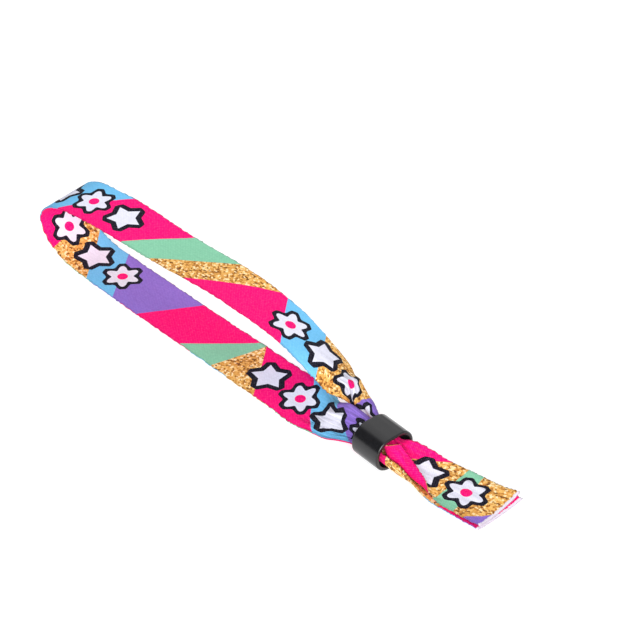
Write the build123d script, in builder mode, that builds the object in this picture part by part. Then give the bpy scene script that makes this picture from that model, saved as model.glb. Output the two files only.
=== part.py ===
from build123d import *
from bisect import bisect_right
from collections import namedtuple
from math import cos, dist, hypot, radians, sin
import os

# A woven fabric wristband: one straight ribbon whose two ends run through a barrel slider.
# The ribbon leaves the slider, lies on the ground, turns back over itself in an open loop
# and comes back through the slider, so that two cut tails stick out on the other side.
# Millimetres, +Z up. X runs along the wristband, towards the tails.

# Ribbon
RIBBON_WIDTH = 15.0
RIBBON_THICKNESS = 1.0

# Slider: a short oval barrel that lies along the ribbon, on its own flat underside
SLIDER_LENGTH = 8.7
SLIDER_WIDTH = 11.5
SLIDER_HEIGHT = 9.1
SLIDER_CORNER = 4.3
BORE_WIDTH = 9.6
BORE_HEIGHT = 7.3
BORE_CORNER = 3.4
SLIDER_EDGE = 0.35
BORE_EDGE = 0.25
SLIDER_TURN = -2.4

# How finely the ribbon is faceted
FACETS_ACROSS = 12
FOLDED_STEP = 1.15
TURN_STEP = 2.2
PLAIN_STEP = 7.0
FOLDED_REACH = 27.0
TURN_START = -103.0
TANGENT_REACH = 4.0
NORMAL_REACH = 0.2

# One row of a table is the ribbon's section at one place along it:
#   x, y, z     the middle of its width, measured from the floor under the slider's middle
#   yaw         how far its width is turned about Z, in degrees
#   kept        the share of the flat width that fine gathers leave
#   the others  its slope across, in degrees, at seven places from the near edge to the far
#               edge: 0 is level, 90 stands up, and more than 90 is folded back
Section = namedtuple(
    "Section",
    "x y z yaw kept near_edge near_outer near_inner middle far_inner far_outer far_edge",
)
SLOPE_COLUMNS = Section._fields[5:]

# Lower tail, from its cut end: a little cupped, then its near side turns up towards the slider
LOWER_TAIL = [
    Section(32.8, 5.0, 0.70, 1, 1.00, -14, -8, -2, 0, 1, 5, 8),
    Section(26.0, 4.7, 0.62, 3, 0.98, -4, -2, 0, 0, 0, 3, 6),
    Section(20.0, 3.6, 0.66, 4, 0.94, -15, -5, 0, 0, 0, 2, 6),
    Section(7.5, -0.3, 1.00, 4, 0.84, -100, -75, -30, 0, 3, 10, 20),
]

# Lower run inside the slider: a trough along the bottom of the bore
LOWER_IN_SLIDER = [
    Section(4.4, -1.4, 1.70, 0, 0.73, -100, -80, -40, -8, 2, 22, 45),
    Section(2.2, -1.5, 1.75, -2, 0.67, -100, -85, -40, -10, 2, 25, 50),
    Section(0.0, -1.9, 1.85, -2, 0.62, -102, -90, -50, -15, 0, 10, 25),
    Section(-2.2, -1.7, 1.85, -2, 0.57, -95, -75, -45, -15, 0, 10, 35),
    Section(-3.3, -1.6, 1.80, -2, 0.49, -90, -60, -25, -8, 5, 40, 62),
]

# Crest of the lower run where it spreads out behind the slider, falling off along the loop
LOWER_CREST = [
    Section(-4.4, -0.3, 2.40, -2, 0.53, -60, -30, 0, 62, 80, 70, 35),
    Section(-6.0, 0.1, 3.00, -2, 0.58, -24, -16, 30, 75, 80, 60, -25),
    Section(-8.0, 0.3, 2.80, -2, 0.63, -22, -14, 32, 76, 78, 45, -50),
    Section(-11.0, 0.3, 2.30, 0, 0.71, -10, -6, 13, 65, 72, 50, -50),
    Section(-14.0, 0.1, 1.45, 0, 0.81, 2, 0, 5, 45, 68, 48, -55),
    Section(-19.0, -0.6, 0.84, 0, 0.82, 0, 0, 0, 12, 50, 20, -75),
    Section(-21.0, -0.5, 0.70, 0, 0.89, 0, 0, 0, 5, 38, 16, -45),
    Section(-26.0, 0.0, 0.62, 0, 1.00, 0, 0, 0, 3, 22, 20, -15),
]

# Floor of the loop, and the lower half of its turn
LOOP_FLOOR = [
    Section(-38.0, 0.2, 0.64, 0, 1.00, 0, 0, 0, 0, 2, 4, 6),
    Section(-85.0, 0.2, 0.64, 0, 1.00, 0, 0, 0, 0, 0, 0, 2),
    Section(-104.0, 0.2, 0.76, 0, 1.00, 0, 0, 0, 0, 0, 0, 0),
    Section(-111.0, 0.2, 1.15, 0.3, 1.00, 0, 0, 0, 0, 0, 0, 0),
    Section(-121.0, 0.0, 7.30, 2, 1.00, 0, 0, 0, 0, 0, 0, 0),
]

# Upper half of the turn, and the top of the loop, which leans more and more as it comes down
LOOP_TOP = [
    Section(-122.0, 0.0, 11.60, 3, 1.00, 1, 1, 1, 1, 1, 1, 1),
    Section(-119.8, 0.1, 15.00, 4.4, 1.00, 2, 2, 2, 2, 2, 2, 2),
    Section(-114.6, 0.5, 17.50, 5.2, 1.00, 3, 3, 3, 3, 3, 3, 3),
    Section(-106.0, 1.2, 18.30, 5.5, 1.00, 3, 3, 3, 3, 3, 3, 3),
    Section(-80.0, 3.8, 16.70, 5.9, 1.00, -2, -2, -2, -2, -2, -2, -2),
    Section(-52.0, 6.6, 14.80, 6.3, 1.00, -7, -7, -7, -7, -7, -7, -7),
    Section(-43.0, 7.4, 13.00, 7, 1.00, -8, -9, -10, -10, -10, -10, -10),
    Section(-36.0, 8.3, 10.80, 8, 1.00, -5, -9, -12, -14, -16, -18, -18),
    Section(-30.0, 8.9, 8.70, 9, 0.99, 15, 3, -8, -15, -22, -26, -28),
]

# Upper run behind the slider: its near side rolls under until the section is a C
UPPER_ROLL = [
    Section(-25.0, 8.8, 7.60, 10, 0.95, 45, 22, -5, -18, -28, -32, -32),
    Section(-21.0, 7.7, 7.30, 9, 0.80, 60, 42, 10, -18, -30, -34, -34),
    Section(-19.0, 7.7, 7.40, 8, 0.68, 45, 42, 25, -5, -28, -34, -34),
    Section(-18.0, 7.5, 7.15, 7, 0.58, 44, 44, 40, 10, -20, -30, -34),
    Section(-17.0, 6.9, 6.60, 6, 0.54, 84, 82, 72, 38, -10, -28, -32),
    Section(-14.0, 5.0, 5.20, 4, 0.63, 165, 130, 95, 75, 25, -22, -25),
    Section(-10.0, 4.1, 4.80, 2, 0.56, 175, 150, 100, 85, 50, -10, -20),
    Section(-7.0, 3.3, 4.80, 0, 0.47, 180, 145, 100, 88, 65, -8, -32),
]

# Upper run inside the slider: the C opens and crosses over to the near side
UPPER_IN_SLIDER = [
    Section(-4.4, 2.8, 5.20, -2, 0.38, 170, 130, 95, 85, 40, -50, -85),
    Section(-3.3, 3.0, 6.10, -2, 0.28, 84, 84, 75, 35, -25, -68, -85),
    Section(-2.2, 2.9, 6.70, -2, 0.29, 50, 45, 30, -10, -50, -75, -85),
    Section(0.0, 1.2, 6.55, -2, 0.44, -5, -5, 0, -5, -20, -55, -80),
    Section(2.2, -0.1, 4.50, -2, 0.50, -75, -70, -40, -5, 5, 15, 30),
]

# Upper tail: its near side is folded over on top and opens out towards its cut end
UPPER_TAIL = [
    Section(4.4, -1.1, 3.40, 0, 0.78, -160, -145, -80, -12, 10, 50, 78),
    Section(7.5, 0.2, 3.00, 4, 0.86, -180, -150, -35, -3, 6, 26, 42),
    Section(11.0, 1.4, 2.35, 6, 0.95, -178, -100, -10, 0, 0, 8, 14),
    Section(15.0, 2.6, 2.12, 6, 0.94, -155, -50, 0, 0, 0, 0, 4),
    Section(18.0, 3.4, 1.96, 6, 0.93, -55, -5, 0, 0, 0, 0, 0),
    Section(22.0, 4.15, 1.94, 5, 0.93, -8, 0, 0, 0, 0, 0, 0),
    Section(27.0, 4.8, 1.92, 5, 0.95, -6, -3, 0, 0, 0, 0, 3),
    Section(32.3, 5.5, 1.90, 5.5, 1.00, -14, -8, -2, 0, 2, 10, 22),
]

# The ribbon's outer face looks down on the lower rows and up on the upper ones
LOWER_ROWS = LOWER_TAIL + LOWER_IN_SLIDER + LOWER_CREST + LOOP_FLOOR
UPPER_ROWS = LOOP_TOP + UPPER_ROLL + UPPER_IN_SLIDER + UPPER_TAIL


def curve(places, values, level):
    """The values and the slopes of a cubic through them: level keeps it from overshooting."""
    gaps = [b - a for a, b in zip(places, places[1:])]
    rises = [(b - a) / gap for a, b, gap in zip(values, values[1:], gaps)]
    slopes = [rises[0]]
    for gap, next_gap, rise, next_rise in zip(gaps, gaps[1:], rises, rises[1:]):
        if not level:
            slopes.append((next_gap * rise + gap * next_rise) / (gap + next_gap))
        elif rise * next_rise <= 0:
            slopes.append(0.0)
        else:
            weight = gap + 2 * next_gap
            next_weight = next_gap + 2 * gap
            slopes.append((weight + next_weight) / (weight / rise + next_weight / next_rise))
    slopes.append(rises[-1])
    return places, values, slopes


def read(cubic, place):
    """The height of such a cubic at one place."""
    places, values, slopes = cubic
    i = min(max(bisect_right(places, place) - 1, 0), len(places) - 2)
    gap = places[i + 1] - places[i]
    s = (place - places[i]) / gap
    start = values[i] * (1 + 2 * s) * (1 - s) ** 2 + gap * slopes[i] * s * (1 - s) ** 2
    end = values[i + 1] * s**2 * (3 - 2 * s) + gap * slopes[i + 1] * s**2 * (s - 1)
    return start + end


def unit(v):
    length = hypot(*v)
    return [c / length for c in v]


def cross(a, b):
    return [a[1] * b[2] - a[2] * b[1], a[2] * b[0] - a[0] * b[2], a[0] * b[1] - a[1] * b[0]]


# The rows are joined along the ribbon by the distance between their middles
ROWS = LOWER_ROWS + UPPER_ROWS
ROW_PLACES = [0.0]
for row, next_row in zip(ROWS, ROWS[1:]):
    ROW_PLACES.append(ROW_PLACES[-1] + dist(row[:3], next_row[:3]))
RIBBON_END = ROW_PLACES[-1]
ALONG = {}
for name in Section._fields:
    facing = -1 if name in SLOPE_COLUMNS else 1
    values = [getattr(row, name) * facing for row in LOWER_ROWS]
    values += [getattr(row, name) for row in UPPER_ROWS]
    ALONG[name] = curve(ROW_PLACES, values, level=name not in ("x", "y", "z"))
SLOPE_STEP = RIBBON_WIDTH / (len(SLOPE_COLUMNS) - 1)
SLOPE_PLACES = [i * SLOPE_STEP for i in range(len(SLOPE_COLUMNS))]


def middle_line(place):
    return [read(ALONG[name], place) for name in ("x", "y", "z")]


def section_points(place):
    """Points across the ribbon at one place along it, from the near edge to the far edge."""
    place = min(max(place, 0.0), RIBBON_END)
    behind = middle_line(max(place - TANGENT_REACH, 0.0))
    ahead = middle_line(min(place + TANGENT_REACH, RIBBON_END))
    tangent = [b - a for a, b in zip(behind, ahead)]
    yaw = radians(read(ALONG["yaw"], place))
    across = [-sin(yaw), cos(yaw), 0.0]
    outward = unit(cross(tangent, across))
    slope = curve(SLOPE_PLACES, [read(ALONG[name], place) for name in SLOPE_COLUMNS], level=True)
    step = RIBBON_WIDTH / FACETS_ACROSS
    reach = [(0.0, 0.0)]
    for i in range(FACETS_ACROSS):
        angle = radians(read(slope, (i + 0.5) * step))
        advance = step * read(ALONG["kept"], place)
        reach.append((reach[-1][0] + advance * cos(angle), reach[-1][1] + advance * sin(angle)))
    mid_u, mid_v = reach[FACETS_ACROSS // 2]
    origin = middle_line(place)
    return [
        [o + (u - mid_u) * a + (v - mid_v) * n for o, a, n in zip(origin, across, outward)]
        for u, v in reach
    ]


def faces_at(place):
    """The section's points moved out to the ribbon's inner face and to its outer face."""
    points = section_points(place)
    behind = section_points(place - NORMAL_REACH)
    ahead = section_points(place + NORMAL_REACH)
    inner, outer = [], []
    for i, point in enumerate(points):
        left = points[max(i - 1, 0)]
        right = points[min(i + 1, FACETS_ACROSS)]
        along = [b - a for a, b in zip(behind[i], ahead[i])]
        normal = unit(cross(along, [b - a for a, b in zip(left, right)]))
        inner.append([p - n * RIBBON_THICKNESS / 2 for p, n in zip(point, normal)])
        outer.append([p + n * RIBBON_THICKNESS / 2 for p, n in zip(point, normal)])
    return inner, outer


def step_at(place):
    x = read(ALONG["x"], place)
    if abs(x) < FOLDED_REACH:
        return FOLDED_STEP
    return TURN_STEP if x < TURN_START else PLAIN_STEP


def station_places():
    places = [0.0]
    while places[-1] + step_at(places[-1]) < RIBBON_END:
        places.append(places[-1] + step_at(places[-1]))
    return places[:-1] + [RIBBON_END]


def quad(a, b, c, d):
    """Two triangles, split along the shorter diagonal."""
    if dist(a, c) <= dist(b, d):
        return [(a, b, c), (a, c, d)]
    return [(a, b, d), (b, c, d)]


def ribbon_triangles(stations):
    triangles = []
    for (inner, outer), (next_inner, next_outer) in zip(stations, stations[1:]):
        for i in range(FACETS_ACROSS):
            triangles += quad(outer[i], next_outer[i], next_outer[i + 1], outer[i + 1])
            triangles += quad(inner[i], inner[i + 1], next_inner[i + 1], next_inner[i])
        triangles += quad(inner[0], next_inner[0], next_outer[0], outer[0])
        triangles += quad(inner[-1], outer[-1], next_outer[-1], next_inner[-1])
    for i in range(FACETS_ACROSS):
        inner, outer = stations[0]
        triangles += quad(inner[i], outer[i], outer[i + 1], inner[i + 1])
        inner, outer = stations[-1]
        triangles += quad(inner[i], inner[i + 1], outer[i + 1], outer[i])
    return triangles


# The origin goes on the floor under the middle of the whole wristband
stations = [faces_at(place) for place in station_places()]
corners = [corner for sides in stations for side in sides for corner in side]
slider_x = -(min(c[0] for c in corners) + max(c[0] for c in corners)) / 2
slider_y = -(min(c[1] for c in corners) + max(c[1] for c in corners)) / 2

# Band
facets = []
for triangle in ribbon_triangles(stations):
    placed = [(x + slider_x, y + slider_y, z) for x, y, z in triangle]
    facets.append(Face(Wire.make_polygon(placed, close=True)))

with BuildPart() as band:
    add(Solid(Shell(facets)))
band.part.label = "band"

# Slider
slider_plane = Plane(
    origin=(slider_x, slider_y, SLIDER_HEIGHT / 2),
    x_dir=(-sin(radians(SLIDER_TURN)), cos(radians(SLIDER_TURN)), 0),
    z_dir=(cos(radians(SLIDER_TURN)), sin(radians(SLIDER_TURN)), 0),
)

slider_axis = Axis(slider_plane.origin, slider_plane.z_dir)

with BuildPart() as slider:
    with BuildSketch(slider_plane):
        RectangleRounded(SLIDER_WIDTH, SLIDER_HEIGHT, SLIDER_CORNER)
    extrude(amount=SLIDER_LENGTH / 2, both=True)
    fillet(slider.faces().filter_by(slider_axis).edges(), SLIDER_EDGE)
    with BuildSketch(slider_plane):
        RectangleRounded(BORE_WIDTH, BORE_HEIGHT, BORE_CORNER)
    extrude(amount=SLIDER_LENGTH, both=True, mode=Mode.SUBTRACT)
    mouths = [face.inner_wires() for face in slider.faces().filter_by(slider_axis)]
    fillet([edge for wires in mouths for wire in wires for edge in wire.edges()], BORE_EDGE)
slider.part.label = "slider"

os.makedirs("parts", exist_ok=True)
export_step(band.part, "parts/band.step")
export_step(slider.part, "parts/slider.step")

print("slider centre", round(slider_x, 3), round(slider_y, 3))
print("ribbon length", round(RIBBON_END, 1))
print("triangles", len(facets))
print("lowest point of the ribbon", round(min(c[2] for c in corners), 3))
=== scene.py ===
from bisect import bisect_right
from collections import namedtuple
from math import cos, dist, hypot, pi, radians, sin, sqrt, tau

import bpy
import numpy as np
from bpy.props import FloatProperty, FloatVectorProperty, PointerProperty
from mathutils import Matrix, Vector, noise


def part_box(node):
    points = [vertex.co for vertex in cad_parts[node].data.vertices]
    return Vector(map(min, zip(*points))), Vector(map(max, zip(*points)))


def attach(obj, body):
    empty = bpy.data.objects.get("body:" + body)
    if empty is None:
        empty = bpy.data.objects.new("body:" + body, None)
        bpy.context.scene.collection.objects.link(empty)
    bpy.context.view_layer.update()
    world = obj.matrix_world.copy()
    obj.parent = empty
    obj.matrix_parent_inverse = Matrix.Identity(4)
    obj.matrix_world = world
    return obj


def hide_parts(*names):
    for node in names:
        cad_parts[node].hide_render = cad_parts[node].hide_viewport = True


bl_info = {
    "name": "Woven Wristband",
    "version": (1, 0, 0),
    "blender": (4, 5, 0),
    "location": "View3D > Sidebar > Wristband",
    "description": "Builds a printed satin wristband that is held by a black barrel slider",
    "category": "Add Mesh",
}

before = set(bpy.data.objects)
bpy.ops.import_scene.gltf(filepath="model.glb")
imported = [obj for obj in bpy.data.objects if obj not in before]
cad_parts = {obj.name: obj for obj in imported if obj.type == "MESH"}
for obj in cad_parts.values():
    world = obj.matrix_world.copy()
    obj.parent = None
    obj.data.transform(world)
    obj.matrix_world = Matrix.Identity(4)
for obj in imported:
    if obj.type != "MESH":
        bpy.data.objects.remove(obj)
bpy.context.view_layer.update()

MM = 0.001

# The ribbon's sections are measured from the floor under the slider's middle
SLIDER_LOW, SLIDER_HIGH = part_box("slider")
SLIDER_CENTRE = (SLIDER_LOW + SLIDER_HIGH) / 2

# The solid ribbon is 1 mm thick. The real cloth is thinner, so it settles: the lower run goes
# down on to the ground, and the upper tail on to the lower one. It settles fully at SETTLED_AT
# from the slider's middle, and less and less on the length that rises into the turn
SOLID_THICKNESS = 1.0
SETTLED_FROM = 5.0
SETTLED_AT = 14.0
RISING_LENGTH = 45.0
TAIL_GAP = 0.1
GROUND_GAP = 0.02

# The cloth's mesh has rows that are close together in the folds and wider apart on the plain
# runs. The ribbon's direction at a row is taken over TANGENT_REACH to both sides, and each row
# is averaged with its neighbours SMOOTHINGS times
FOLDED_REACH = 30.0
FOLDED_STEP = 0.36
PLAIN_STEP = 0.75
TANGENT_REACH = 4.0
COLUMNS = 60
SMOOTHINGS = 6

# Columns of the swollen selvedges and of the thin rims outside them, and the seed for the reach
# of the threads at the rims
SELVEDGE_COLUMNS = [1, 2, -3, -2]
RIM_COLUMNS = [0, -1]
PICOT_SEED = 7

# The pleats stay shallow in the bore, and nowhere bend tighter than BEND_LIMIT times the
# cloth's thickness
SHALLOW_PLEAT = 0.08
SHALLOW_UNTIL = 4.5
DEEP_PLEAT = 0.34
DEEP_FROM = 7.0
BEND_LIMIT = 1.0

# The slow noise in the pleats' lines and depth, and in the ripples of the whole ribbon: its
# grain along and across the ribbon, and the layer of noise that it is taken from
Drift = namedtuple("Drift", "along across layer")
WANDER = Drift(9.0, 16.0, 4.1)
SWELL = Drift(7.0, 5.0, 9.7)
RIPPLE = Drift(11.0, 8.0, 1.3)

# The noise moves a pleat by up to WANDER_SWING radians of its wave, and changes its depth by up
# to SWELL_SWING around SWELL_MIDDLE
WANDER_SWING = 2.4
SWELL_MIDDLE = 0.75
SWELL_SWING = 0.8

# Where the gathers take this share of the width, the fine creases and their painted shade and
# highlights are at their strongest
FULL_GATHERS = 0.2

# One row of a table is the ribbon's section at one place along it, in millimetres:
#   x, y, z     the middle of its width, measured from the floor under the slider's middle
#   yaw         how far its width is turned about Z, in degrees
#   kept        the share of the flat width that fine gathers leave
#   the others  its slope across, in degrees, at seven places from the near edge to the far
#               edge: 0 is level, 90 stands up, and more than 90 is folded back
Section = namedtuple(
    "Section",
    "x y z yaw kept near_edge near_outer near_inner middle far_inner far_outer far_edge",
)
SLOPE_COLUMNS = Section._fields[5:]

# Lower tail, from its cut end: a little cupped, then its near side turns up towards the slider
LOWER_TAIL = [
    Section(32.8, 5.0, 0.70, 1, 1.00, -14, -8, -2, 0, 1, 5, 8),
    Section(26.0, 4.7, 0.62, 3, 0.98, -4, -2, 0, 0, 0, 3, 6),
    Section(20.0, 3.6, 0.66, 4, 0.94, -15, -5, 0, 0, 0, 2, 6),
    Section(7.5, -0.3, 1.00, 4, 0.84, -100, -75, -30, 0, 3, 10, 20),
]

# Lower run inside the slider: a trough along the bottom of the bore
LOWER_IN_SLIDER = [
    Section(4.4, -1.4, 1.70, 0, 0.73, -100, -80, -40, -8, 2, 22, 45),
    Section(2.2, -1.5, 1.75, -2, 0.67, -100, -85, -40, -10, 2, 25, 50),
    Section(0.0, -1.9, 1.85, -2, 0.62, -102, -90, -50, -15, 0, 10, 25),
    Section(-2.2, -1.7, 1.85, -2, 0.57, -95, -75, -45, -15, 0, 10, 35),
    Section(-3.3, -1.6, 1.80, -2, 0.49, -90, -60, -25, -8, 5, 40, 62),
]

# Crest of the lower run where it spreads out behind the slider, falling off along the loop
LOWER_CREST = [
    Section(-4.4, -0.3, 2.40, -2, 0.53, -60, -30, 0, 62, 80, 70, 35),
    Section(-6.0, 0.1, 3.00, -2, 0.58, -24, -16, 30, 75, 80, 60, -25),
    Section(-8.0, 0.3, 2.80, -2, 0.63, -22, -14, 32, 76, 78, 45, -50),
    Section(-11.0, 0.3, 2.30, 0, 0.71, -10, -6, 13, 65, 72, 50, -50),
    Section(-14.0, 0.1, 1.45, 0, 0.81, 2, 0, 5, 45, 68, 48, -55),
    Section(-19.0, -0.6, 0.84, 0, 0.82, 0, 0, 0, 12, 50, 20, -75),
    Section(-21.0, -0.5, 0.70, 0, 0.89, 0, 0, 0, 5, 38, 16, -45),
    Section(-26.0, 0.0, 0.62, 0, 1.00, 0, 0, 0, 3, 22, 20, -15),
]

# Floor of the loop, and the lower half of its turn
LOOP_FLOOR = [
    Section(-38.0, 0.2, 0.64, 0, 1.00, 0, 0, 0, 0, 2, 4, 6),
    Section(-85.0, 0.2, 0.64, 0, 1.00, 0, 0, 0, 0, 0, 0, 2),
    Section(-104.0, 0.2, 0.76, 0, 1.00, 0, 0, 0, 0, 0, 0, 0),
    Section(-111.0, 0.2, 1.15, 0.3, 1.00, 0, 0, 0, 0, 0, 0, 0),
    Section(-121.0, 0.0, 7.30, 2, 1.00, 0, 0, 0, 0, 0, 0, 0),
]

# Upper half of the turn, and the top of the loop, which leans more and more as it comes down
LOOP_TOP = [
    Section(-122.0, 0.0, 11.60, 3, 1.00, 1, 1, 1, 1, 1, 1, 1),
    Section(-119.8, 0.1, 15.00, 4.4, 1.00, 2, 2, 2, 2, 2, 2, 2),
    Section(-114.6, 0.5, 17.50, 5.2, 1.00, 3, 3, 3, 3, 3, 3, 3),
    Section(-106.0, 1.2, 18.30, 5.5, 1.00, 3, 3, 3, 3, 3, 3, 3),
    Section(-80.0, 3.8, 16.70, 5.9, 1.00, -2, -2, -2, -2, -2, -2, -2),
    Section(-52.0, 6.6, 14.80, 6.3, 1.00, -7, -7, -7, -7, -7, -7, -7),
    Section(-43.0, 7.4, 13.00, 7, 1.00, -8, -9, -10, -10, -10, -10, -10),
    Section(-36.0, 8.3, 10.80, 8, 1.00, -5, -9, -12, -14, -16, -18, -18),
    Section(-30.0, 8.9, 8.70, 9, 0.99, 15, 3, -8, -15, -22, -26, -28),
]

# Upper run behind the slider: its near side rolls under until the section is a C
UPPER_ROLL = [
    Section(-25.0, 8.8, 7.60, 10, 0.95, 45, 22, -5, -18, -28, -32, -32),
    Section(-21.0, 7.7, 7.30, 9, 0.80, 60, 42, 10, -18, -30, -34, -34),
    Section(-19.0, 7.7, 7.40, 8, 0.68, 45, 42, 25, -5, -28, -34, -34),
    Section(-18.0, 7.5, 7.15, 7, 0.58, 44, 44, 40, 10, -20, -30, -34),
    Section(-17.0, 6.9, 6.60, 6, 0.54, 84, 82, 72, 38, -10, -28, -32),
    Section(-14.0, 5.0, 5.20, 4, 0.63, 165, 130, 95, 75, 25, -22, -25),
    Section(-10.0, 4.1, 4.80, 2, 0.56, 175, 150, 100, 85, 50, -10, -20),
    Section(-7.0, 3.3, 4.80, 0, 0.47, 180, 145, 100, 88, 65, -8, -32),
]

# Upper run inside the slider: the C opens and crosses over to the near side
UPPER_IN_SLIDER = [
    Section(-4.4, 2.8, 5.20, -2, 0.38, 170, 130, 95, 85, 40, -50, -85),
    Section(-3.3, 3.0, 6.10, -2, 0.28, 84, 84, 75, 35, -25, -68, -85),
    Section(-2.2, 2.9, 6.70, -2, 0.29, 50, 45, 30, -10, -50, -75, -85),
    Section(0.0, 1.2, 6.55, -2, 0.44, -5, -5, 0, -5, -20, -55, -80),
    Section(2.2, -0.1, 4.50, -2, 0.50, -75, -70, -40, -5, 5, 15, 30),
]

# Upper tail: its near side is folded over on top and opens out towards its cut end
UPPER_TAIL = [
    Section(4.4, -1.1, 3.45, 0, 0.86, -160, -145, -80, -12, 16, 58, 84),
    Section(7.5, 0.2, 3.00, 4, 0.86, -180, -150, -35, -3, 6, 26, 42),
    Section(11.0, 1.4, 2.35, 6, 0.95, -178, -100, -10, 0, 0, 8, 14),
    Section(15.0, 2.6, 2.12, 6, 0.94, -155, -50, 0, 0, 0, 0, 4),
    Section(18.0, 3.4, 1.96, 6, 0.93, -55, -5, 0, 0, 0, 0, 0),
    Section(22.0, 4.15, 1.94, 5, 0.93, -8, 0, 0, 0, 0, 0, 0),
    Section(27.0, 4.8, 1.92, 5, 0.95, -6, -3, 0, 0, 0, 0, 3),
    Section(32.3, 5.5, 1.90, 5.5, 1.00, -14, -8, -2, 0, 2, 10, 22),
]

# The ribbon's outer face looks down on the lower rows and up on the upper ones
LOWER_ROWS = LOWER_TAIL + LOWER_IN_SLIDER + LOWER_CREST + LOOP_FLOOR
UPPER_ROWS = LOOP_TOP + UPPER_ROLL + UPPER_IN_SLIDER + UPPER_TAIL

# The print: oblique fields of flat ink or gold glitter, in order along each face of the ribbon.
# A field starts `start` millimetres along the near edge, and `lean` further on along the far
# edge. Fields don't cross: both their starts and their far ends follow each other
Field = namedtuple("Field", "start lean ink")
FLAT_INKS = ("pink", "violet", "mint", "sky")
INKS = FLAT_INKS + ("gold",)
INNER_PRINT = [
    Field(0, 0, "pink"),
    Field(12, -8, "gold"),
    Field(30, 6, "violet"),
    Field(42, 12, "sky"),
    Field(52, 14, "pink"),
    Field(72, 12, "gold"),
    Field(88, -4, "mint"),
    Field(100, -14, "pink"),
    Field(117, -9, "violet"),
    Field(127, 12, "sky"),
    Field(138, 13, "gold"),
    Field(152, 4, "pink"),
    Field(182, 8, "mint"),
    Field(196, -6, "gold"),
    Field(212, -8, "pink"),
    Field(236, 8, "violet"),
    Field(248, 10, "sky"),
    Field(262, 4, "gold"),
    Field(278, -6, "pink"),
    Field(318, 6, "mint"),
]
OUTER_PRINT = [
    Field(0, 0, "violet"),
    Field(7, 2, "sky"),
    Field(16, -5, "gold"),
    Field(29, 0, "pink"),
    Field(52, 12, "mint"),
    Field(66, 4, "gold"),
    Field(82, -9, "sky"),
    Field(96, -12, "pink"),
    Field(124, 8, "violet"),
    Field(136, 5, "mint"),
    Field(148, -5, "gold"),
    Field(159, -12, "sky"),
    Field(172, 14, "pink"),
    Field(196, 12, "mint"),
    Field(206, 18, "gold"),
    Field(218, 20, "pink"),
    Field(250, -10, "sky"),
    Field(262, -8, "gold"),
    Field(274, 4, "violet"),
    Field(283, 6, "pink"),
    Field(286, 22, "gold"),
    Field(312, 0, "mint"),
    Field(318, -2, "gold"),
    Field(321, 12, "violet"),
]

# White stars and daisies in a dark outline are printed over the fields by turns, one to a cell,
# in runs of whole cells. Each is turned CELL_TWIST radians further than the one before it
CELL = 11.5
Run = namedtuple("Run", "first_cell cells")
INNER_RUNS = [Run(3, 4), Run(11, 3), Run(18, 4)]
OUTER_RUNS = [Run(6, 3), Run(14, 3), Run(21, 4), Run(26, 2)]
STAR_POINTS = 5
STAR_RADIUS = 4.7
STAR_NOTCH = 2.7
DAISY_PETALS = 6
DAISY_RADIUS = 3.75
DAISY_DEPTH = 0.85
DAISY_EYE = 1.4
OUTLINE = 1.45
CELL_TWIST = 0.7

# The picture of gold glitter that is printed in the gold fields: its tones from the darkest,
# with the share of the grains that each one takes. The tones shift in drifts a few grains wide
GOLD_TONES = [
    (0.09, "#7A4A1C"),
    (0.18, "#B67630"),
    (0.32, "#DC9E4C"),
    (0.25, "#EEBB68"),
    (0.16, "#FFE4B0"),
]
DRIFT_GRAINS = 2
DRIFT_SHARE = 0.7

# The satin's own patterns, in millimetres: slubs in the yarn, streaks along the warp and fine
# creases, which also carry painted shade and highlights. Each one's rise is in heights of a thread
SLUB = 0.625
SLUB_RISE = 3.0
STREAK_LENGTH = 3.333
STREAK_WIDTH = 0.4545
STREAK_RISE = 2.5
CREASE_LENGTH = 8.333
CREASE_WIDTH = 1.0
CREASE_RISE = 16.0

# The selvedges are darkest out to SELVEDGE_RIM and even out at SELVEDGE_WIDTH. The ink stops
# BARE_END short of the cut ends, and up to RAGGED_REACH more where slubs make its line ragged
SELVEDGE_RIM = 0.1
SELVEDGE_WIDTH = 0.4
BARE_END = 0.1
RAGGED_REACH = 0.9

# The grain of the fused yarn ends, of the moulded plastic and of the wear on it, in millimetres
FUSED_GRAIN = 0.2857
MOULD_GRAIN = 0.5556
WEAR_GRAIN = 3.846

# The darker yarn ends, the paler specks of the plastic, the table top and its light
FUSED_SHADE = "#B39AAE"
RUBBED_PLASTIC = "#1D1D20"
OPAL_ACRYLIC = "#B4B4B6"
WHITE_LIGHT = "#FFFFFF"


def curve(places, values, level):
    """The values and the slopes of a cubic through them: level keeps it from overshooting."""
    gaps = [b - a for a, b in zip(places, places[1:])]
    rises = [(b - a) / gap for a, b, gap in zip(values, values[1:], gaps)]
    slopes = [rises[0]]
    for gap, next_gap, rise, next_rise in zip(gaps, gaps[1:], rises, rises[1:]):
        if not level:
            slopes.append((next_gap * rise + gap * next_rise) / (gap + next_gap))
        elif rise * next_rise <= 0:
            slopes.append(0.0)
        else:
            weight = gap + 2 * next_gap
            next_weight = next_gap + 2 * gap
            slopes.append((weight + next_weight) / (weight / rise + next_weight / next_rise))
    slopes.append(rises[-1])
    return places, values, slopes


def read(cubic, place):
    """The height of such a cubic at one place."""
    places, values, slopes = cubic
    i = min(max(bisect_right(places, place) - 1, 0), len(places) - 2)
    gap = places[i + 1] - places[i]
    s = (place - places[i]) / gap
    start = values[i] * (1 + 2 * s) * (1 - s) ** 2 + gap * slopes[i] * s * (1 - s) ** 2
    end = values[i + 1] * s**2 * (3 - 2 * s) + gap * slopes[i + 1] * s**2 * (s - 1)
    return start + end


def unit(v):
    length = hypot(*v)
    return [c / length for c in v]


def cross(a, b):
    return [a[1] * b[2] - a[2] * b[1], a[2] * b[0] - a[0] * b[2], a[0] * b[1] - a[1] * b[0]]


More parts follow.
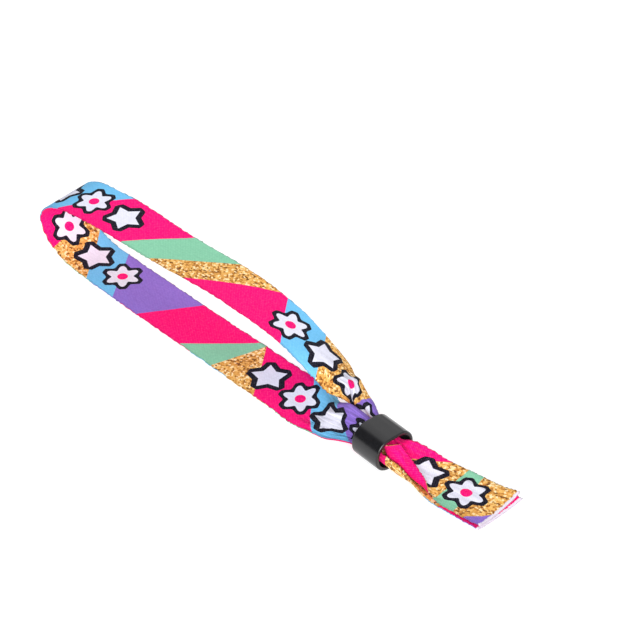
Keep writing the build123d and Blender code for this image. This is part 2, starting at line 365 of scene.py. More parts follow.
# The rows are joined along the ribbon by the distance between their middles
ROWS = LOWER_ROWS + UPPER_ROWS
ROW_PLACES = [0.0]
for row, next_row in zip(ROWS, ROWS[1:]):
    ROW_PLACES.append(ROW_PLACES[-1] + dist(row[:3], next_row[:3]))
RIBBON_END = ROW_PLACES[-1]
TURNED_OVER = ROW_PLACES[len(LOWER_ROWS)]
ALONG = {}
for name in Section._fields:
    facing = -1 if name in SLOPE_COLUMNS else 1
    values = [getattr(row, name) * facing for row in LOWER_ROWS]
    values += [getattr(row, name) for row in UPPER_ROWS]
    ALONG[name] = curve(ROW_PLACES, values, level=name not in ("x", "y", "z"))


def eased(value, low, high):
    """0 below low, 1 above high, and a smooth rise between."""
    s = min(max((value - low) / (high - low), 0.0), 1.0)
    return s * s * (3 - 2 * s)


def middle_line(place):
    return [read(ALONG[name], place) for name in ("x", "y", "z")]


def section_points(place, width):
    """Points across the ribbon at one place along it, from the near edge to the far edge."""
    behind = middle_line(max(place - TANGENT_REACH, 0.0))
    ahead = middle_line(min(place + TANGENT_REACH, RIBBON_END))
    tangent = [b - a for a, b in zip(behind, ahead)]
    yaw = radians(read(ALONG["yaw"], place))
    across = [-sin(yaw), cos(yaw), 0.0]
    outward = unit(cross(tangent, across))
    slope_step = width / (len(SLOPE_COLUMNS) - 1)
    slope_places = [i * slope_step for i in range(len(SLOPE_COLUMNS))]
    slope = curve(slope_places, [read(ALONG[name], place) for name in SLOPE_COLUMNS], level=True)
    step = width / COLUMNS
    advance = step * read(ALONG["kept"], place)
    reach = [(0.0, 0.0)]
    for i in range(COLUMNS):
        angle = radians(read(slope, (i + 0.5) * step))
        reach.append((reach[-1][0] + advance * cos(angle), reach[-1][1] + advance * sin(angle)))
    mid_u, mid_v = reach[COLUMNS // 2]
    origin = middle_line(place)
    return [
        [o + (u - mid_u) * a + (v - mid_v) * n for o, a, n in zip(origin, across, outward)]
        for u, v in reach
    ]


def row_places():
    """Where the rows of the cloth's mesh are, in millimetres along the ribbon."""
    places = [0.0]
    while places[-1] < RIBBON_END:
        x = read(ALONG["x"], places[-1])
        places.append(places[-1] + (FOLDED_STEP if abs(x) < FOLDED_REACH else PLAIN_STEP))
    return places[:-1] + [RIBBON_END]


def normals_of(grid):
    """The outward normal at each point of a grid of points."""
    normals = np.cross(np.gradient(grid, axis=0), np.gradient(grid, axis=1))
    return normals / np.linalg.norm(normals, axis=2, keepdims=True)


def settle(grid, places, thickness):
    """Lowers the runs that lie on the ground, or on each other, since the cloth is thinner
    than its solid."""
    spare = SOLID_THICKNESS - thickness
    for i, place in enumerate(places):
        x = read(ALONG["x"], place)
        outside = eased(abs(x), SETTLED_FROM, SETTLED_AT)
        lower = 1 - eased(place, TURNED_OVER - RISING_LENGTH, TURNED_OVER)
        upper_tail = eased(x, SETTLED_FROM, SETTLED_AT) if place > TURNED_OVER else 0.0
        # The lower run's middle sinks by half of the spare thickness, and its top by all of it,
        # so the upper tail's middle can sink by one and a half
        grid[i, :, 2] -= outside * lower * spare / 2
        grid[i, :, 2] -= upper_tail * (spare * 1.5 - TAIL_GAP)


def drifting(drift, place, t):
    """The slow noise at one point of the ribbon, from -1 to 1."""
    return noise.noise(Vector((place / drift.along, t / drift.across, drift.layer)))


def wrinkles(places, width, sizes):
    """How far each point of the cloth stands off its smooth section, in millimetres: pleats
    where the ribbon is gathered, and slow ripples all over."""
    pleat, ripple, thickness = sizes.pleat_width / MM, sizes.ripple / MM, sizes.thickness / MM
    lift = np.zeros((len(places), COLUMNS + 1))
    for i, place in enumerate(places):
        kept = min(read(ALONG["kept"], place), 1.0)
        outside = eased(abs(read(ALONG["x"], place)), SHALLOW_UNTIL, DEEP_FROM)
        room = SHALLOW_PLEAT + (DEEP_PLEAT - SHALLOW_PLEAT) * outside
        # A full pleat takes up all the width that the gathers leave over
        full = pleat / pi * sqrt(1 / kept - 1)
        tightest = (kept * pleat / tau) ** 2 / (BEND_LIMIT * thickness)
        depth = min(sizes.pleat_share * full, room, tightest)
        for j in range(COLUMNS + 1):
            t = width * j / COLUMNS
            wander = WANDER_SWING * drifting(WANDER, place, t)
            swell = SWELL_MIDDLE + SWELL_SWING * drifting(SWELL, place, t)
            lift[i, j] = depth * swell * sin(tau * t / pleat + wander)
            lift[i, j] += ripple * drifting(RIPPLE, place, t)
    return lift


def gathering(places):
    """How strongly the ribbon is gathered at each row, from 0 to 1."""
    return np.array([eased(1 - read(ALONG["kept"], place), 0.0, FULL_GATHERS) for place in places])


def cloth_points(places, sizes):
    """The points of the outer face and of the inner face, row by row."""
    width, thickness = sizes.width / MM, sizes.thickness / MM
    grid = np.array([section_points(place, width) for place in places])
    for _ in range(SMOOTHINGS):
        grid[1:-1] = (grid[:-2] + 2 * grid[1:-1] + grid[2:]) / 4
    settle(grid, places, thickness)
    grid += normals_of(grid) * wrinkles(places, width, sizes)[:, :, None]
    normals = normals_of(grid)
    half = np.full(COLUMNS + 1, thickness / 2)
    half[SELVEDGE_COLUMNS] *= sizes.selvedge_swell
    half[RIM_COLUMNS] *= sizes.rim_share
    across = np.gradient(grid, axis=1)
    across /= np.linalg.norm(across, axis=2, keepdims=True)
    random = np.random.default_rng(PICOT_SEED)
    picots = random.uniform(-1, 1, (len(places), 2)) * sizes.picot / MM
    grid[:, 0] -= across[:, 0] * picots[:, :1]
    grid[:, -1] += across[:, -1] * picots[:, 1:]
    outer = grid + normals * half[None, :, None]
    inner = grid - normals * half[None, :, None]
    points = np.concatenate([outer.reshape(-1, 3), inner.reshape(-1, 3)])
    points += np.array([SLIDER_CENTRE.x / MM, SLIDER_CENTRE.y / MM, 0.0])
    points[:, 2] = np.maximum(points[:, 2], GROUND_GAP)
    return points


OUTER_FACE, INNER_FACE, CUT_END = range(3)


def cloth_mesh(sizes):
    """The ribbon as one closed sheet: an outer face, an inner face, two rims and two cut ends."""
    places = row_places()
    wide, count = COLUMNS + 1, len(places)
    under = wide * count
    faces, skins = [], []
    for i in range(count - 1):
        for j in range(COLUMNS):
            a = i * wide + j
            faces.append((a, a + wide, a + wide + 1, a + 1))
            faces.append((under + a, under + a + 1, under + a + wide + 1, under + a + wide))
            skins += [OUTER_FACE, INNER_FACE]
        near, far = i * wide, i * wide + COLUMNS
        faces.append((near, under + near, under + near + wide, near + wide))
        faces.append((far, far + wide, under + far + wide, under + far))
        skins += [OUTER_FACE, OUTER_FACE]
    last = (count - 1) * wide
    for j in range(COLUMNS):
        faces.append((j, j + 1, under + j + 1, under + j))
        faces.append((last + j, under + last + j, under + last + j + 1, last + j + 1))
        skins += [CUT_END, CUT_END]

    mesh = bpy.data.meshes.new("band_cloth")
    mesh.from_pydata((cloth_points(places, sizes) * MM).tolist(), [], faces)
    mesh.polygons.foreach_set("material_index", skins)
    mesh.polygons.foreach_set("use_smooth", [True] * len(faces))

    # The print and the weave are placed by the millimetres along and across the flat ribbon
    step = sizes.width / MM / COLUMNS
    flat = np.array([[place, step * j] for place in places for j in range(wide)] * 2)
    corners = np.zeros(len(mesh.loops), int)
    mesh.loops.foreach_get("vertex_index", corners)
    layer = mesh.uv_layers.new(name="ribbon_mm")
    layer.data.foreach_set("uv", flat[corners].ravel())
    gathered = mesh.attributes.new("gathered", "FLOAT", "POINT")
    gathered.data.foreach_set("value", np.tile(np.repeat(gathering(places), wide), 2))
    mesh.validate()
    mesh.update()
    return mesh


def linear(code):
    """An sRGB hex colour as linear red, green, blue and alpha."""
    parts = [int(code[i : i + 2], 16) / 255 for i in (1, 3, 5)]
    return [c / 12.92 if c <= 0.04045 else ((c + 0.055) / 1.055) ** 2.4 for c in parts] + [1.0]


def add_node(tree, kind, inputs, **settings):
    """Adds a shader node. inputs gives its sockets by number or name, each as a value, as the
    socket that feeds it, or as a node whose first output in use feeds it. A Mix node has its
    factor at 0, its numbers at 2 and 3, and its colours at 6 and 7."""
    node = tree.nodes.new("ShaderNode" + kind)
    for name, value in settings.items():
        setattr(node, name, value)
    for slot, value in inputs.items() if isinstance(inputs, dict) else enumerate(inputs):
        if isinstance(value, bpy.types.Node):
            value = next(output for output in value.outputs if output.enabled)
        if isinstance(value, bpy.types.NodeSocket):
            tree.links.new(value, node.inputs[slot])
        else:
            node.inputs[slot].default_value = value
    return node


def new_material(name):
    material = bpy.data.materials.new(name)
    material.use_nodes = True
    material.node_tree.nodes.clear()
    return material, material.node_tree


def set_steps(ramp, steps):
    """Fills a colour ramp with steps of flat colour, given as (share, colour)."""
    ramp.interpolation = "CONSTANT"
    while len(ramp.elements) < len(steps):
        ramp.elements.new(1.0)
    reached = 0.0
    for element, (share, colour) in zip(ramp.elements, steps):
        element.position = reached
        element.color = colour
        reached += share


def field_ink(tree, s, t, fields, width):
    """Which ink a point is printed in, as its number among the inks."""
    ink = float(INKS.index(fields[0].ink))
    for field, next_field in zip(fields, fields[1:]):
        slanted = add_node(tree, "Math", (t, -next_field.lean / width, s), operation="MULTIPLY_ADD")
        past = add_node(tree, "Math", (slanted, float(next_field.start)), operation="GREATER_THAN")
        change = float(INKS.index(next_field.ink) - INKS.index(field.ink))
        ink = add_node(tree, "Math", (past, change, ink), operation="MULTIPLY_ADD")
    return ink


def gold_glitter(tree, place, grain):
    """A printed picture of gold glitter: grains of several golds, in lighter and darker drifts."""
    grains = add_node(
        tree, "TexVoronoi", {"Vector": place, "Scale": 1 / grain}, voronoi_dimensions="2D"
    )
    drift = add_node(
        tree,
        "TexNoise",
        {"Vector": place, "Scale": 1 / (DRIFT_GRAINS * grain), "Detail": 2.0},
        noise_dimensions="2D",
    )
    tone = add_node(tree, "SeparateColor", (grains.outputs["Color"],))
    tone = add_node(tree, "Math", (drift, DRIFT_SHARE, tone), operation="MULTIPLY_ADD")
    tone = add_node(tree, "Math", (tone, DRIFT_SHARE / 2), operation="SUBTRACT")
    ramp = add_node(tree, "ValToRGB", (tone,))
    set_steps(ramp.color_ramp, [(share, linear(code)) for share, code in GOLD_TONES])
    return ramp


def star_edge(tree, r, angle):
    """How far a point is outside the straight sides of a star."""
    wedge = pi / STAR_POINTS
    along, up = STAR_NOTCH * cos(wedge) - STAR_RADIUS, STAR_NOTCH * sin(wedge)
    facing_x, facing_y = up / hypot(along, up), -along / hypot(along, up)
    folded = add_node(tree, "Math", (angle, wedge), operation="PINGPONG")
    cosine = add_node(tree, "Math", (folded,), operation="COSINE")
    sine = add_node(tree, "Math", (folded,), operation="SINE")
    outward = add_node(tree, "Math", (cosine, facing_x), operation="MULTIPLY")
    outward = add_node(tree, "Math", (sine, facing_y, outward), operation="MULTIPLY_ADD")
    return add_node(tree, "Math", (outward, r, -STAR_RADIUS * facing_x), operation="MULTIPLY_ADD")


def daisy_edge(tree, r, angle):
    """How far a point is outside the rounded petals of a daisy."""
    turns = add_node(tree, "Math", (angle, float(DAISY_PETALS)), operation="MULTIPLY")
    petal = add_node(tree, "Math", (turns,), operation="COSINE")
    rim = add_node(tree, "Math", (petal, DAISY_DEPTH, DAISY_RADIUS), operation="MULTIPLY_ADD")
    return add_node(tree, "Math", (r, rim), operation="SUBTRACT")


def motif_masks(tree, s, t, runs, width):
    """Where the dark outlines, the white fillings and the daisies' pink eyes are printed."""
    cell = add_node(tree, "Math", (s, CELL), operation="DIVIDE")
    cell = add_node(tree, "Math", (cell,), operation="FLOOR")
    u = add_node(tree, "Math", (s, CELL), operation="MODULO")
    u = add_node(tree, "Math", (u, CELL / 2), operation="SUBTRACT")
    v = add_node(tree, "Math", (t, width / 2), operation="SUBTRACT")
    place = add_node(tree, "CombineXYZ", (u, v))
    r = add_node(tree, "VectorMath", (place,), operation="LENGTH").outputs["Value"]
    angle = add_node(tree, "Math", (v, u), operation="ARCTAN2")
    angle = add_node(tree, "Math", (cell, CELL_TWIST, angle), operation="MULTIPLY_ADD")
    odd = add_node(tree, "Math", (cell, 2.0), operation="MODULO")
    star, daisy = star_edge(tree, r, angle), daisy_edge(tree, r, angle)
    edge = add_node(tree, "Mix", {0: odd, 2: star, 3: daisy}, data_type="FLOAT")

    shown = 0.0
    for run in runs:
        middle, reach = CELL * (run.first_cell + run.cells / 2), CELL * run.cells / 2
        inside = add_node(tree, "Math", (s, middle, reach), operation="COMPARE")
        shown = add_node(tree, "Math", (inside, shown), operation="MAXIMUM")
    near = add_node(tree, "Math", (edge, OUTLINE), operation="LESS_THAN")
    in_cell = add_node(tree, "Math", (r, CELL / 2), operation="LESS_THAN")
    near = add_node(tree, "Math", (near, in_cell), operation="MULTIPLY")
    outline = add_node(tree, "Math", (near, shown), operation="MULTIPLY")
    within = add_node(tree, "Math", (edge, 0.0), operation="LESS_THAN")
    filling = add_node(tree, "Math", (within, shown), operation="MULTIPLY")
    eye_radius = add_node(tree, "Math", (odd, DAISY_EYE), operation="MULTIPLY")
    in_eye = add_node(tree, "Math", (r, eye_radius), operation="LESS_THAN")
    eye = add_node(tree, "Math", (in_eye, filling), operation="MULTIPLY")
    return outline, filling, eye


def print_colour(tree, uv, s, t, looks, width, fields, runs):
    """The colour of the print: fields of ink and glitter, with the motifs over them."""
    ink = field_ink(tree, s, t, fields, width)
    # Half a step on, the number of an ink falls in the middle of its own colour
    spot = add_node(tree, "Math", (ink, 0.5), operation="ADD")
    spot = add_node(tree, "Math", (spot, float(len(INKS))), operation="DIVIDE")
    flat = add_node(tree, "ValToRGB", (spot,))
    share = 1 / len(INKS)
    set_steps(flat.color_ramp, [(share, list(getattr(looks, name))) for name in FLAT_INKS])
    gold = add_node(tree, "Math", (ink, float(INKS.index("gold")), 0.5), operation="COMPARE")
    glitter = gold_glitter(tree, uv, looks.grain / MM)
    colour = add_node(tree, "Mix", {0: gold, 6: flat, 7: glitter}, data_type="RGBA")
    paints = (looks.outline, looks.white, looks.pink)
    for mask, paint in zip(motif_masks(tree, s, t, runs, width), paints):
        colour = add_node(tree, "Mix", {0: mask, 6: colour, 7: list(paint)}, data_type="RGBA")
    return colour


def thread_height(tree, s, t, slubs, spacing):
    """The height of the threads of a plain weave with slubs in its yarn."""
    # Threads are 0.2 mm apart on the real ribbon, less than a pixel, so they are drawn as coarse
    # as it takes to show
    turns = tau / spacing
    warp = add_node(tree, "Math", (t, turns), operation="MULTIPLY")
    warp = add_node(tree, "Math", (warp,), operation="SINE")
    weft = add_node(tree, "Math", (s, turns), operation="MULTIPLY")
    weft = add_node(tree, "Math", (weft,), operation="SINE")
    weave = add_node(tree, "Math", (warp, weft), operation="MULTIPLY")
    return add_node(tree, "Math", (slubs, SLUB_RISE, weave), operation="MULTIPLY_ADD")


def printed_satin(name, looks, sizes, fields, runs):
    """Polyester satin ribbon, woven white and dye-sublimation printed on both faces. The eye
    gets flat, vivid inks with crisp joins, a fine even thread texture, darker selvedges, fine
    creases where it is gathered, with painted shade and highlights along them, and hardly any
    gloss."""
    material, tree = new_material(name)
    width = sizes.width / MM
    uv = add_node(tree, "UVMap", {}, uv_map="ribbon_mm")
    parts = add_node(tree, "SeparateXYZ", (uv,))
    s, t = parts.outputs[0], parts.outputs[1]
    colour = print_colour(tree, uv, s, t, looks, width, fields, runs)

    # The threads and streaks shade the inks, and pale yarn shows a little between the threads
    slubs = add_node(
        tree, "TexNoise", {"Vector": uv, "Scale": 1 / SLUB, "Detail": 2.0}, noise_dimensions="2D"
    )
    height = thread_height(tree, s, t, slubs, sizes.thread / MM)
    streak_grain = (1 / STREAK_LENGTH, 1 / STREAK_WIDTH, 1.0)
    drawn_out = add_node(tree, "VectorMath", (uv, streak_grain), operation="MULTIPLY")
    streaks = add_node(
        tree, "TexNoise", {"Vector": drawn_out, "Scale": 1.0, "Detail": 2.0}, noise_dimensions="2D"
    )
    uneven = add_node(tree, "Math", (streaks, STREAK_RISE, height), operation="MULTIPLY_ADD")
    shade = add_node(
        tree,
        "MapRange",
        {"Value": uneven, "From Min": 1.2, "From Max": 4.2, "To Min": 0.87, "To Max": 1.06},
    )
    colour = add_node(
        tree, "Mix", {0: 1.0, 6: colour, 7: shade}, data_type="RGBA", blend_type="MULTIPLY"
    )
    bare = add_node(
        tree,
        "MapRange",
        {"Value": height, "From Min": 1.4, "From Max": 3.2, "To Min": 0.0, "To Max": 0.09},
    )

    # Fine creases run along the ribbon where it is gathered: a bump, with painted shade in their
    # valleys and painted highlights on their crests
    gathered = add_node(tree, "Attribute", {}, attribute_name="gathered").outputs["Fac"]
    crease_grain = (1 / CREASE_LENGTH, 1 / CREASE_WIDTH, 1.0)
    drawn_out = add_node(tree, "VectorMath", (uv, crease_grain), operation="MULTIPLY")
    creases = add_node(
        tree, "TexNoise", {"Vector": drawn_out, "Scale": 1.0, "Detail": 2.0}, noise_dimensions="2D"
    )
    painted_crease_shade = add_node(
        tree,
        "MapRange",
        {"Value": creases, "From Min": 0.32, "From Max": 0.68, "To Min": 0.66, "To Max": 1.16},
    )
    colour = add_node(
        tree, "Mix", {0: gathered, 6: colour, 7: painted_crease_shade}, data_type="RGBA", blend_type="MULTIPLY"
    )
    crease_height = add_node(tree, "Math", (creases, CREASE_RISE), operation="MULTIPLY")
    crease_height = add_node(tree, "Math", (crease_height, gathered), operation="MULTIPLY")
    relief = add_node(tree, "Math", (height, crease_height), operation="ADD")

    # The colour darkens towards the selvedges, and the ink doesn't quite reach the cut ends
    from_side = add_node(tree, "Math", (t, width / 2), operation="PINGPONG")
    selvedge = add_node(
        tree,
        "MapRange",
        {
            "Value": from_side,
            "From Min": SELVEDGE_RIM,
            "From Max": SELVEDGE_WIDTH,
            "To Min": 0.6,
            "To Max": 1.0,
        },
    )
    colour = add_node(
        tree, "Mix", {0: 1.0, 6: colour, 7: selvedge}, data_type="RGBA", blend_type="MULTIPLY"
    )
    from_end = add_node(tree, "Math", (s, RIBBON_END / 2), operation="PINGPONG")
    ragged = add_node(tree, "Math", (slubs, -RAGGED_REACH, from_end), operation="MULTIPLY_ADD")
    at_end = add_node(tree, "Math", (ragged, BARE_END), operation="LESS_THAN")
    bare = add_node(tree, "Math", (bare, at_end), operation="MAXIMUM")
    colour = add_node(tree, "Mix", {0: bare, 6: colour, 7: list(looks.yarn)}, data_type="RGBA")

    bump = add_node(tree, "Bump", {"Strength": 0.3, "Distance": 0.05 * MM, "Height": relief})
    shader = add_node(
        tree,
        "BsdfPrincipled",
        {
            "Base Color": colour,
            "Roughness": 0.85,
            "IOR": 1.5,
            "Specular IOR Level": 0.1,
            "Sheen Weight": 0.02,
            "Sheen Roughness": 0.4,
            "Normal": bump,
        },
    )
    add_node(tree, "OutputMaterial", (shader,))
    return material


def hot_cut_yarn(looks):
    """White polyester yarn, cut and sealed with a hot knife: a pale, matt line of fused ends."""
    material, tree = new_material("polyester_yarn_hot_cut")
    place = add_node(tree, "TexCoord", {}).outputs["Object"]
    scale = 1 / (FUSED_GRAIN * MM)
    ends = add_node(tree, "TexNoise", {"Vector": place, "Scale": scale, "Detail": 2.0})
    colour = add_node(
        tree, "Mix", {0: ends, 6: list(looks.yarn), 7: linear(FUSED_SHADE)}, data_type="RGBA"
    )
    bump = add_node(tree, "Bump", {"Strength": 0.5, "Distance": 0.06 * MM, "Height": ends})
    shader = add_node(
        tree,
        "BsdfPrincipled",
        {
            "Base Color": colour,
            "Roughness": 0.8,
            "IOR": 1.5,
            "Specular IOR Level": 0.25,
            "Normal": bump,
        },
    )
    add_node(tree, "OutputMaterial", (shader,))
    return material


def moulded_abs(looks):
    """Black ABS, injection moulded in a polished mould and handled since: deep black with soft,
    slightly uneven reflections."""
    material, tree = new_material("abs_black_injection_moulded")
    place = add_node(tree, "TexCoord", {}).outputs["Object"]
    scale = 1 / (MOULD_GRAIN * MM)
    grain = add_node(tree, "TexNoise", {"Vector": place, "Scale": scale, "Detail": 3.0})
    scale = 1 / (WEAR_GRAIN * MM)
    wear = add_node(tree, "TexNoise", {"Vector": place, "Scale": scale, "Detail": 2.0})
    rough = add_node(tree, "MapRange", {"Value": wear, "To Min": 0.16, "To Max": 0.32})
    bump = add_node(tree, "Bump", {"Strength": 0.12, "Distance": 0.02 * MM, "Height": grain})
    colour = add_node(
        tree, "Mix", {0: grain, 6: list(looks.plastic), 7: linear(RUBBED_PLASTIC)}, data_type="RGBA"
    )
    shader = add_node(
        tree,
        "BsdfPrincipled",
        {"Base Color": colour, "Roughness": rough, "IOR": 1.53, "Normal": bump},
    )
    add_node(tree, "OutputMaterial", (shader,))
    return material


def white_table(glow):
    """Opal acrylic table top, lit a little from below: plain, matt and white, with faint
    shadows."""
    material, tree = new_material("acrylic_opal_table")
    shader = add_node(
        tree,
        "BsdfPrincipled",
        {
            "Base Color": linear(OPAL_ACRYLIC),
            "Roughness": 0.9,
            "IOR": 1.49,
            "Specular IOR Level": 0.1,
            "Emission Color": linear(WHITE_LIGHT),
            "Emission Strength": glow,
        },
    )
    add_node(tree, "OutputMaterial", (shader,))
    return material


def colour_property(name, description, code):
    return FloatVectorProperty(
        name=name,
        description=description,
        subtype="COLOR",
        size=4,
        min=0.0,
        max=1.0,
        default=linear(code),
    )


class BandSizes(bpy.types.PropertyGroup):
    width: FloatProperty(
        name="Width", description="Width of the flat ribbon", default=15 * MM, unit="LENGTH"
    )
    thickness: FloatProperty(
        name="Thickness", description="Thickness of the cloth", default=0.4 * MM, unit="LENGTH"
    )
    pleat_width: FloatProperty(
        name="Pleat Width",
        description="Flat width of one pleat where the ribbon is gathered",
        default=3.2 * MM,
        unit="LENGTH",
    )
    pleat_share: FloatProperty(
        name="Pleat Share",
        description="Share of the full pleat depth that stands up from the cloth",
        default=0.4,
        subtype="FACTOR",
        min=0.0,
        max=1.0,
    )
    ripple: FloatProperty(
        name="Ripple", description="Height of the slow ripples", default=0.12 * MM, unit="LENGTH"
    )
    picot: FloatProperty(
        name="Picot",
        description="Reach of the threads at the edges",
        default=0.18 * MM,
        unit="LENGTH",
    )
    selvedge_swell: FloatProperty(
        name="Selvedge Swell", description="Thickness of the selvedge, as a share", default=1.12
    )
    rim_share: FloatProperty(
        name="Rim Share", description="Thickness at the very rim, as a share", default=0.5
    )
    thread: FloatProperty(
        name="Thread",
        description="Distance between threads, as drawn",
        default=0.6 * MM,
        unit="LENGTH",
    )


class BandLooks(bpy.types.PropertyGroup):
    pink: colour_property("Pink", "Hot pink ink", "#F90074")
    violet: colour_property("Violet", "Violet ink", "#8B6DCB")
    mint: colour_property("Mint", "Mint ink", "#84C6A4")
    sky: colour_property("Sky", "Sky blue ink", "#6EBCEA")
    white: colour_property("White", "Filling of the stars and daisies", "#DEDEEE")
    outline: colour_property("Outline", "Outline of the stars and daisies", "#0E0E1E")
    yarn: colour_property("Yarn", "The unprinted yarn", "#CFC8D4")
    plastic: colour_property("Plastic", "The slider's plastic", "#0C0C0E")
    grain: FloatProperty(
        name="Grain", description="Size of the glitter's grains", default=0.5 * MM, unit="LENGTH"
    )


class StageSizes(bpy.types.PropertyGroup):
    table: FloatProperty(
        name="Table", description="Side of the square table top", default=8.0, unit="LENGTH"
    )
    glow: FloatProperty(
        name="Glow", description="Light that comes up through the table top", default=0.66
    )
    ceiling: FloatProperty(
        name="Ceiling", description="Strength of the wide ceiling light", default=0.56
    )
    ceiling_spread: FloatProperty(
        name="Ceiling Spread",
        description="Angle that the ceiling light fills",
        default=radians(68),
        subtype="ANGLE",
    )
    fill: FloatProperty(
        name="Fill", description="Strength of the light from the camera's side", default=3.9
    )
    fill_spread: FloatProperty(
        name="Fill Spread",
        description="Angle that the light from the camera's side fills",
        default=radians(34),
        subtype="ANGLE",
    )
    room: FloatProperty(
        name="Room", description="Strength of the light from the rest of the room", default=0.5
    )
    lens: FloatProperty(
        name="Lens", description="Focal length of the camera", default=110.37, unit="CAMERA"
    )


class WRISTBAND_OT_band(bpy.types.Operator):
    """Adds the ribbon: a printed sheet of satin that makes the loop and both tails"""

    bl_idname = "wristband.band"
    bl_label = "Add Band"

    def execute(self, context):
        sizes, looks = context.scene.band_sizes, context.scene.band_looks
        band = bpy.data.objects.new("band_cloth", cloth_mesh(sizes))
        context.scene.collection.objects.link(band)
        for material in (
            printed_satin("polyester_satin_printed_outer", looks, sizes, OUTER_PRINT, OUTER_RUNS),
            printed_satin("polyester_satin_printed_inner", looks, sizes, INNER_PRINT, INNER_RUNS),
            hot_cut_yarn(looks),
        ):
            band.data.materials.append(material)
        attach(band, "root")
        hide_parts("band")
        return {"FINISHED"}


class WRISTBAND_OT_slider(bpy.types.Operator):
    """Gives the slider its black moulded plastic"""

    bl_idname = "wristband.slider"
    bl_label = "Finish Slider"

    def execute(self, context):
        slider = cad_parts["slider"]
        slider.data.materials.clear()
        slider.data.materials.append(moulded_abs(context.scene.band_looks))
        return {"FINISHED"}


# The ceiling light shines from behind the wristband's left end. The fill light comes from the
# camera's side and a little lower, so that the lower run isn't left in the loop's shade. A black
# flag to the camera's left leaves only FLAG_SHARE of the room's light within FLAG_CORE of its
# middle, and all of it beyond FLAG_EDGE
CEILING_AZIMUTH = radians(137.0)
CEILING_ELEVATION = radians(52.0)
FILL_AZIMUTH = radians(-43.0)
FILL_ELEVATION = radians(31.0)
FLAG_AZIMUTH = radians(-132.0)
FLAG_ELEVATION = radians(24.0)
FLAG_CORE = radians(26.0)
FLAG_EDGE = radians(50.0)
FLAG_SHARE = 0.12

# The white horizon goes over into the room between these two heights of a unit vector
HORIZON_TOP = 0.02
ROOM_BOTTOM = 0.1

# The camera looks at a point of the table that is measured from the slider's middle
CAMERA_TARGET = Vector((-48.669 * MM, 25.627 * MM, 0.0))
CAMERA_AZIMUTH = radians(-43.0)
CAMERA_ELEVATION = radians(37.0)
CAMERA_DISTANCE = 0.5


def direction(azimuth, elevation):
    return Vector((cos(azimuth) * cos(elevation), sin(azimuth) * cos(elevation), sin(elevation)))


def place_facing(name, data, target, back):
    """Adds a light or a camera that looks at a target from a point away in direction back."""
    thing = bpy.data.objects.new(name, data)
    thing.location = target + back
    thing.rotation_mode = "QUATERNION"
    thing.rotation_quaternion = (-back).to_track_quat("-Z", "Y")
    bpy.context.scene.collection.objects.link(thing)
    return thing


def studio_world(strength):
    """A pale room over a white horizon, with a black flag that gives the slider a dark side."""
    world = bpy.data.worlds.new("studio_room")
    world.use_nodes = True
    tree = world.node_tree
    tree.nodes.clear()
    place = add_node(tree, "TexCoord", {}).outputs["Generated"]
    flag = direction(FLAG_AZIMUTH, FLAG_ELEVATION)
    to_flag = add_node(tree, "VectorMath", (place, flag), operation="DOT_PRODUCT")
    room = add_node(
        tree,
        "MapRange",
        {
            "Value": to_flag.outputs["Value"],
            "From Min": cos(FLAG_EDGE),
            "From Max": cos(FLAG_CORE),
            "To Min": strength,
            "To Max": FLAG_SHARE * strength,
        },
        interpolation_type="SMOOTHSTEP",
    )
    height = add_node(tree, "SeparateXYZ", (place,)).outputs[2]
    shade = add_node(
        tree,
        "MapRange",
        {
            "Value": height,
            "From Min": HORIZON_TOP,
            "From Max": ROOM_BOTTOM,
            "To Min": 1.0,
            "To Max": room,
        },
        interpolation_type="SMOOTHSTEP",
    )
    light = add_node(tree, "Background", {"Color": linear(WHITE_LIGHT), "Strength": shade})
    add_node(tree, "OutputWorld", (light,))
    return world


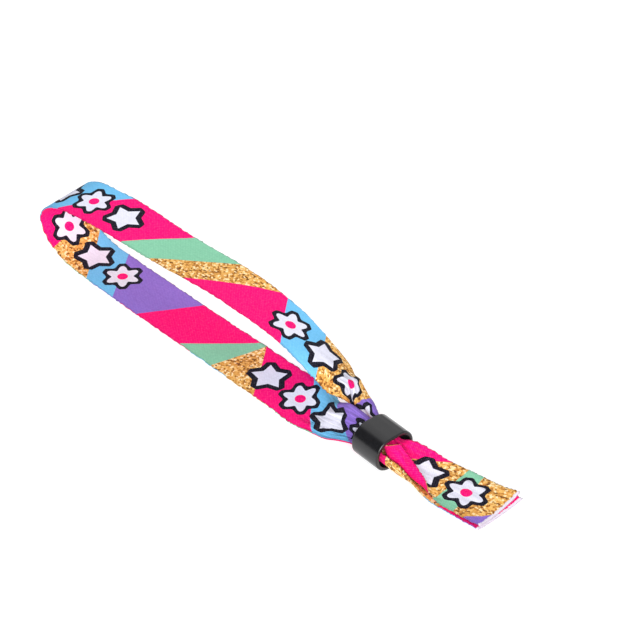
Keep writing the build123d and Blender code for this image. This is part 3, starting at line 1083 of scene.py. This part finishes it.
class WRISTBAND_OT_stage(bpy.types.Operator):
    """Adds the table top, the light and the camera"""

    bl_idname = "wristband.stage"
    bl_label = "Add Stage"

    def execute(self, context):
        scene, stage = context.scene, context.scene.stage_sizes
        scene.view_settings.view_transform = "Standard"
        bpy.ops.mesh.primitive_plane_add(size=stage.table)
        table = context.object
        table.name = "table_top"
        table.data.materials.append(white_table(stage.glow))

        scene.world = studio_world(stage.room)
        ceiling = direction(CEILING_AZIMUTH, CEILING_ELEVATION)
        fill = direction(FILL_AZIMUTH, FILL_ELEVATION)
        for name, energy, spread, back in (
            ("ceiling_light", stage.ceiling, stage.ceiling_spread, ceiling),
            ("fill_light", stage.fill, stage.fill_spread, fill),
        ):
            light = bpy.data.lights.new(name, "SUN")
            light.energy = energy
            light.angle = spread
            place_facing(name, light, Vector(), back)

        camera = bpy.data.cameras.new("camera")
        camera.lens = stage.lens
        camera.clip_start = 0.01
        target = Vector((SLIDER_CENTRE.x, SLIDER_CENTRE.y, 0.0)) + CAMERA_TARGET
        back = direction(CAMERA_AZIMUTH, CAMERA_ELEVATION) * CAMERA_DISTANCE
        scene.camera = place_facing("camera", camera, target, back)
        return {"FINISHED"}


class WRISTBAND_PT_panel(bpy.types.Panel):
    """Lists the operators for the wristband's pieces and its stage"""

    bl_idname = "WRISTBAND_PT_panel"
    bl_label = "Wristband"
    bl_space_type = "VIEW_3D"
    bl_region_type = "UI"
    bl_category = "Wristband"

    def draw(self, context):
        for operator in (WRISTBAND_OT_band, WRISTBAND_OT_slider, WRISTBAND_OT_stage):
            self.layout.operator(operator.bl_idname)


CLASSES = (
    BandSizes,
    BandLooks,
    StageSizes,
    WRISTBAND_OT_band,
    WRISTBAND_OT_slider,
    WRISTBAND_OT_stage,
    WRISTBAND_PT_panel,
)


def register():
    for cls in CLASSES:
        bpy.utils.register_class(cls)
    bpy.types.Scene.band_sizes = PointerProperty(type=BandSizes)
    bpy.types.Scene.band_looks = PointerProperty(type=BandLooks)
    bpy.types.Scene.stage_sizes = PointerProperty(type=StageSizes)


def unregister():
    del bpy.types.Scene.stage_sizes
    del bpy.types.Scene.band_looks
    del bpy.types.Scene.band_sizes
    for cls in reversed(CLASSES):
        bpy.utils.unregister_class(cls)


def main():
    register()
    bpy.ops.wristband.stage()
    bpy.ops.wristband.band()
    bpy.ops.wristband.slider()


if __name__ == "__main__":
    main()
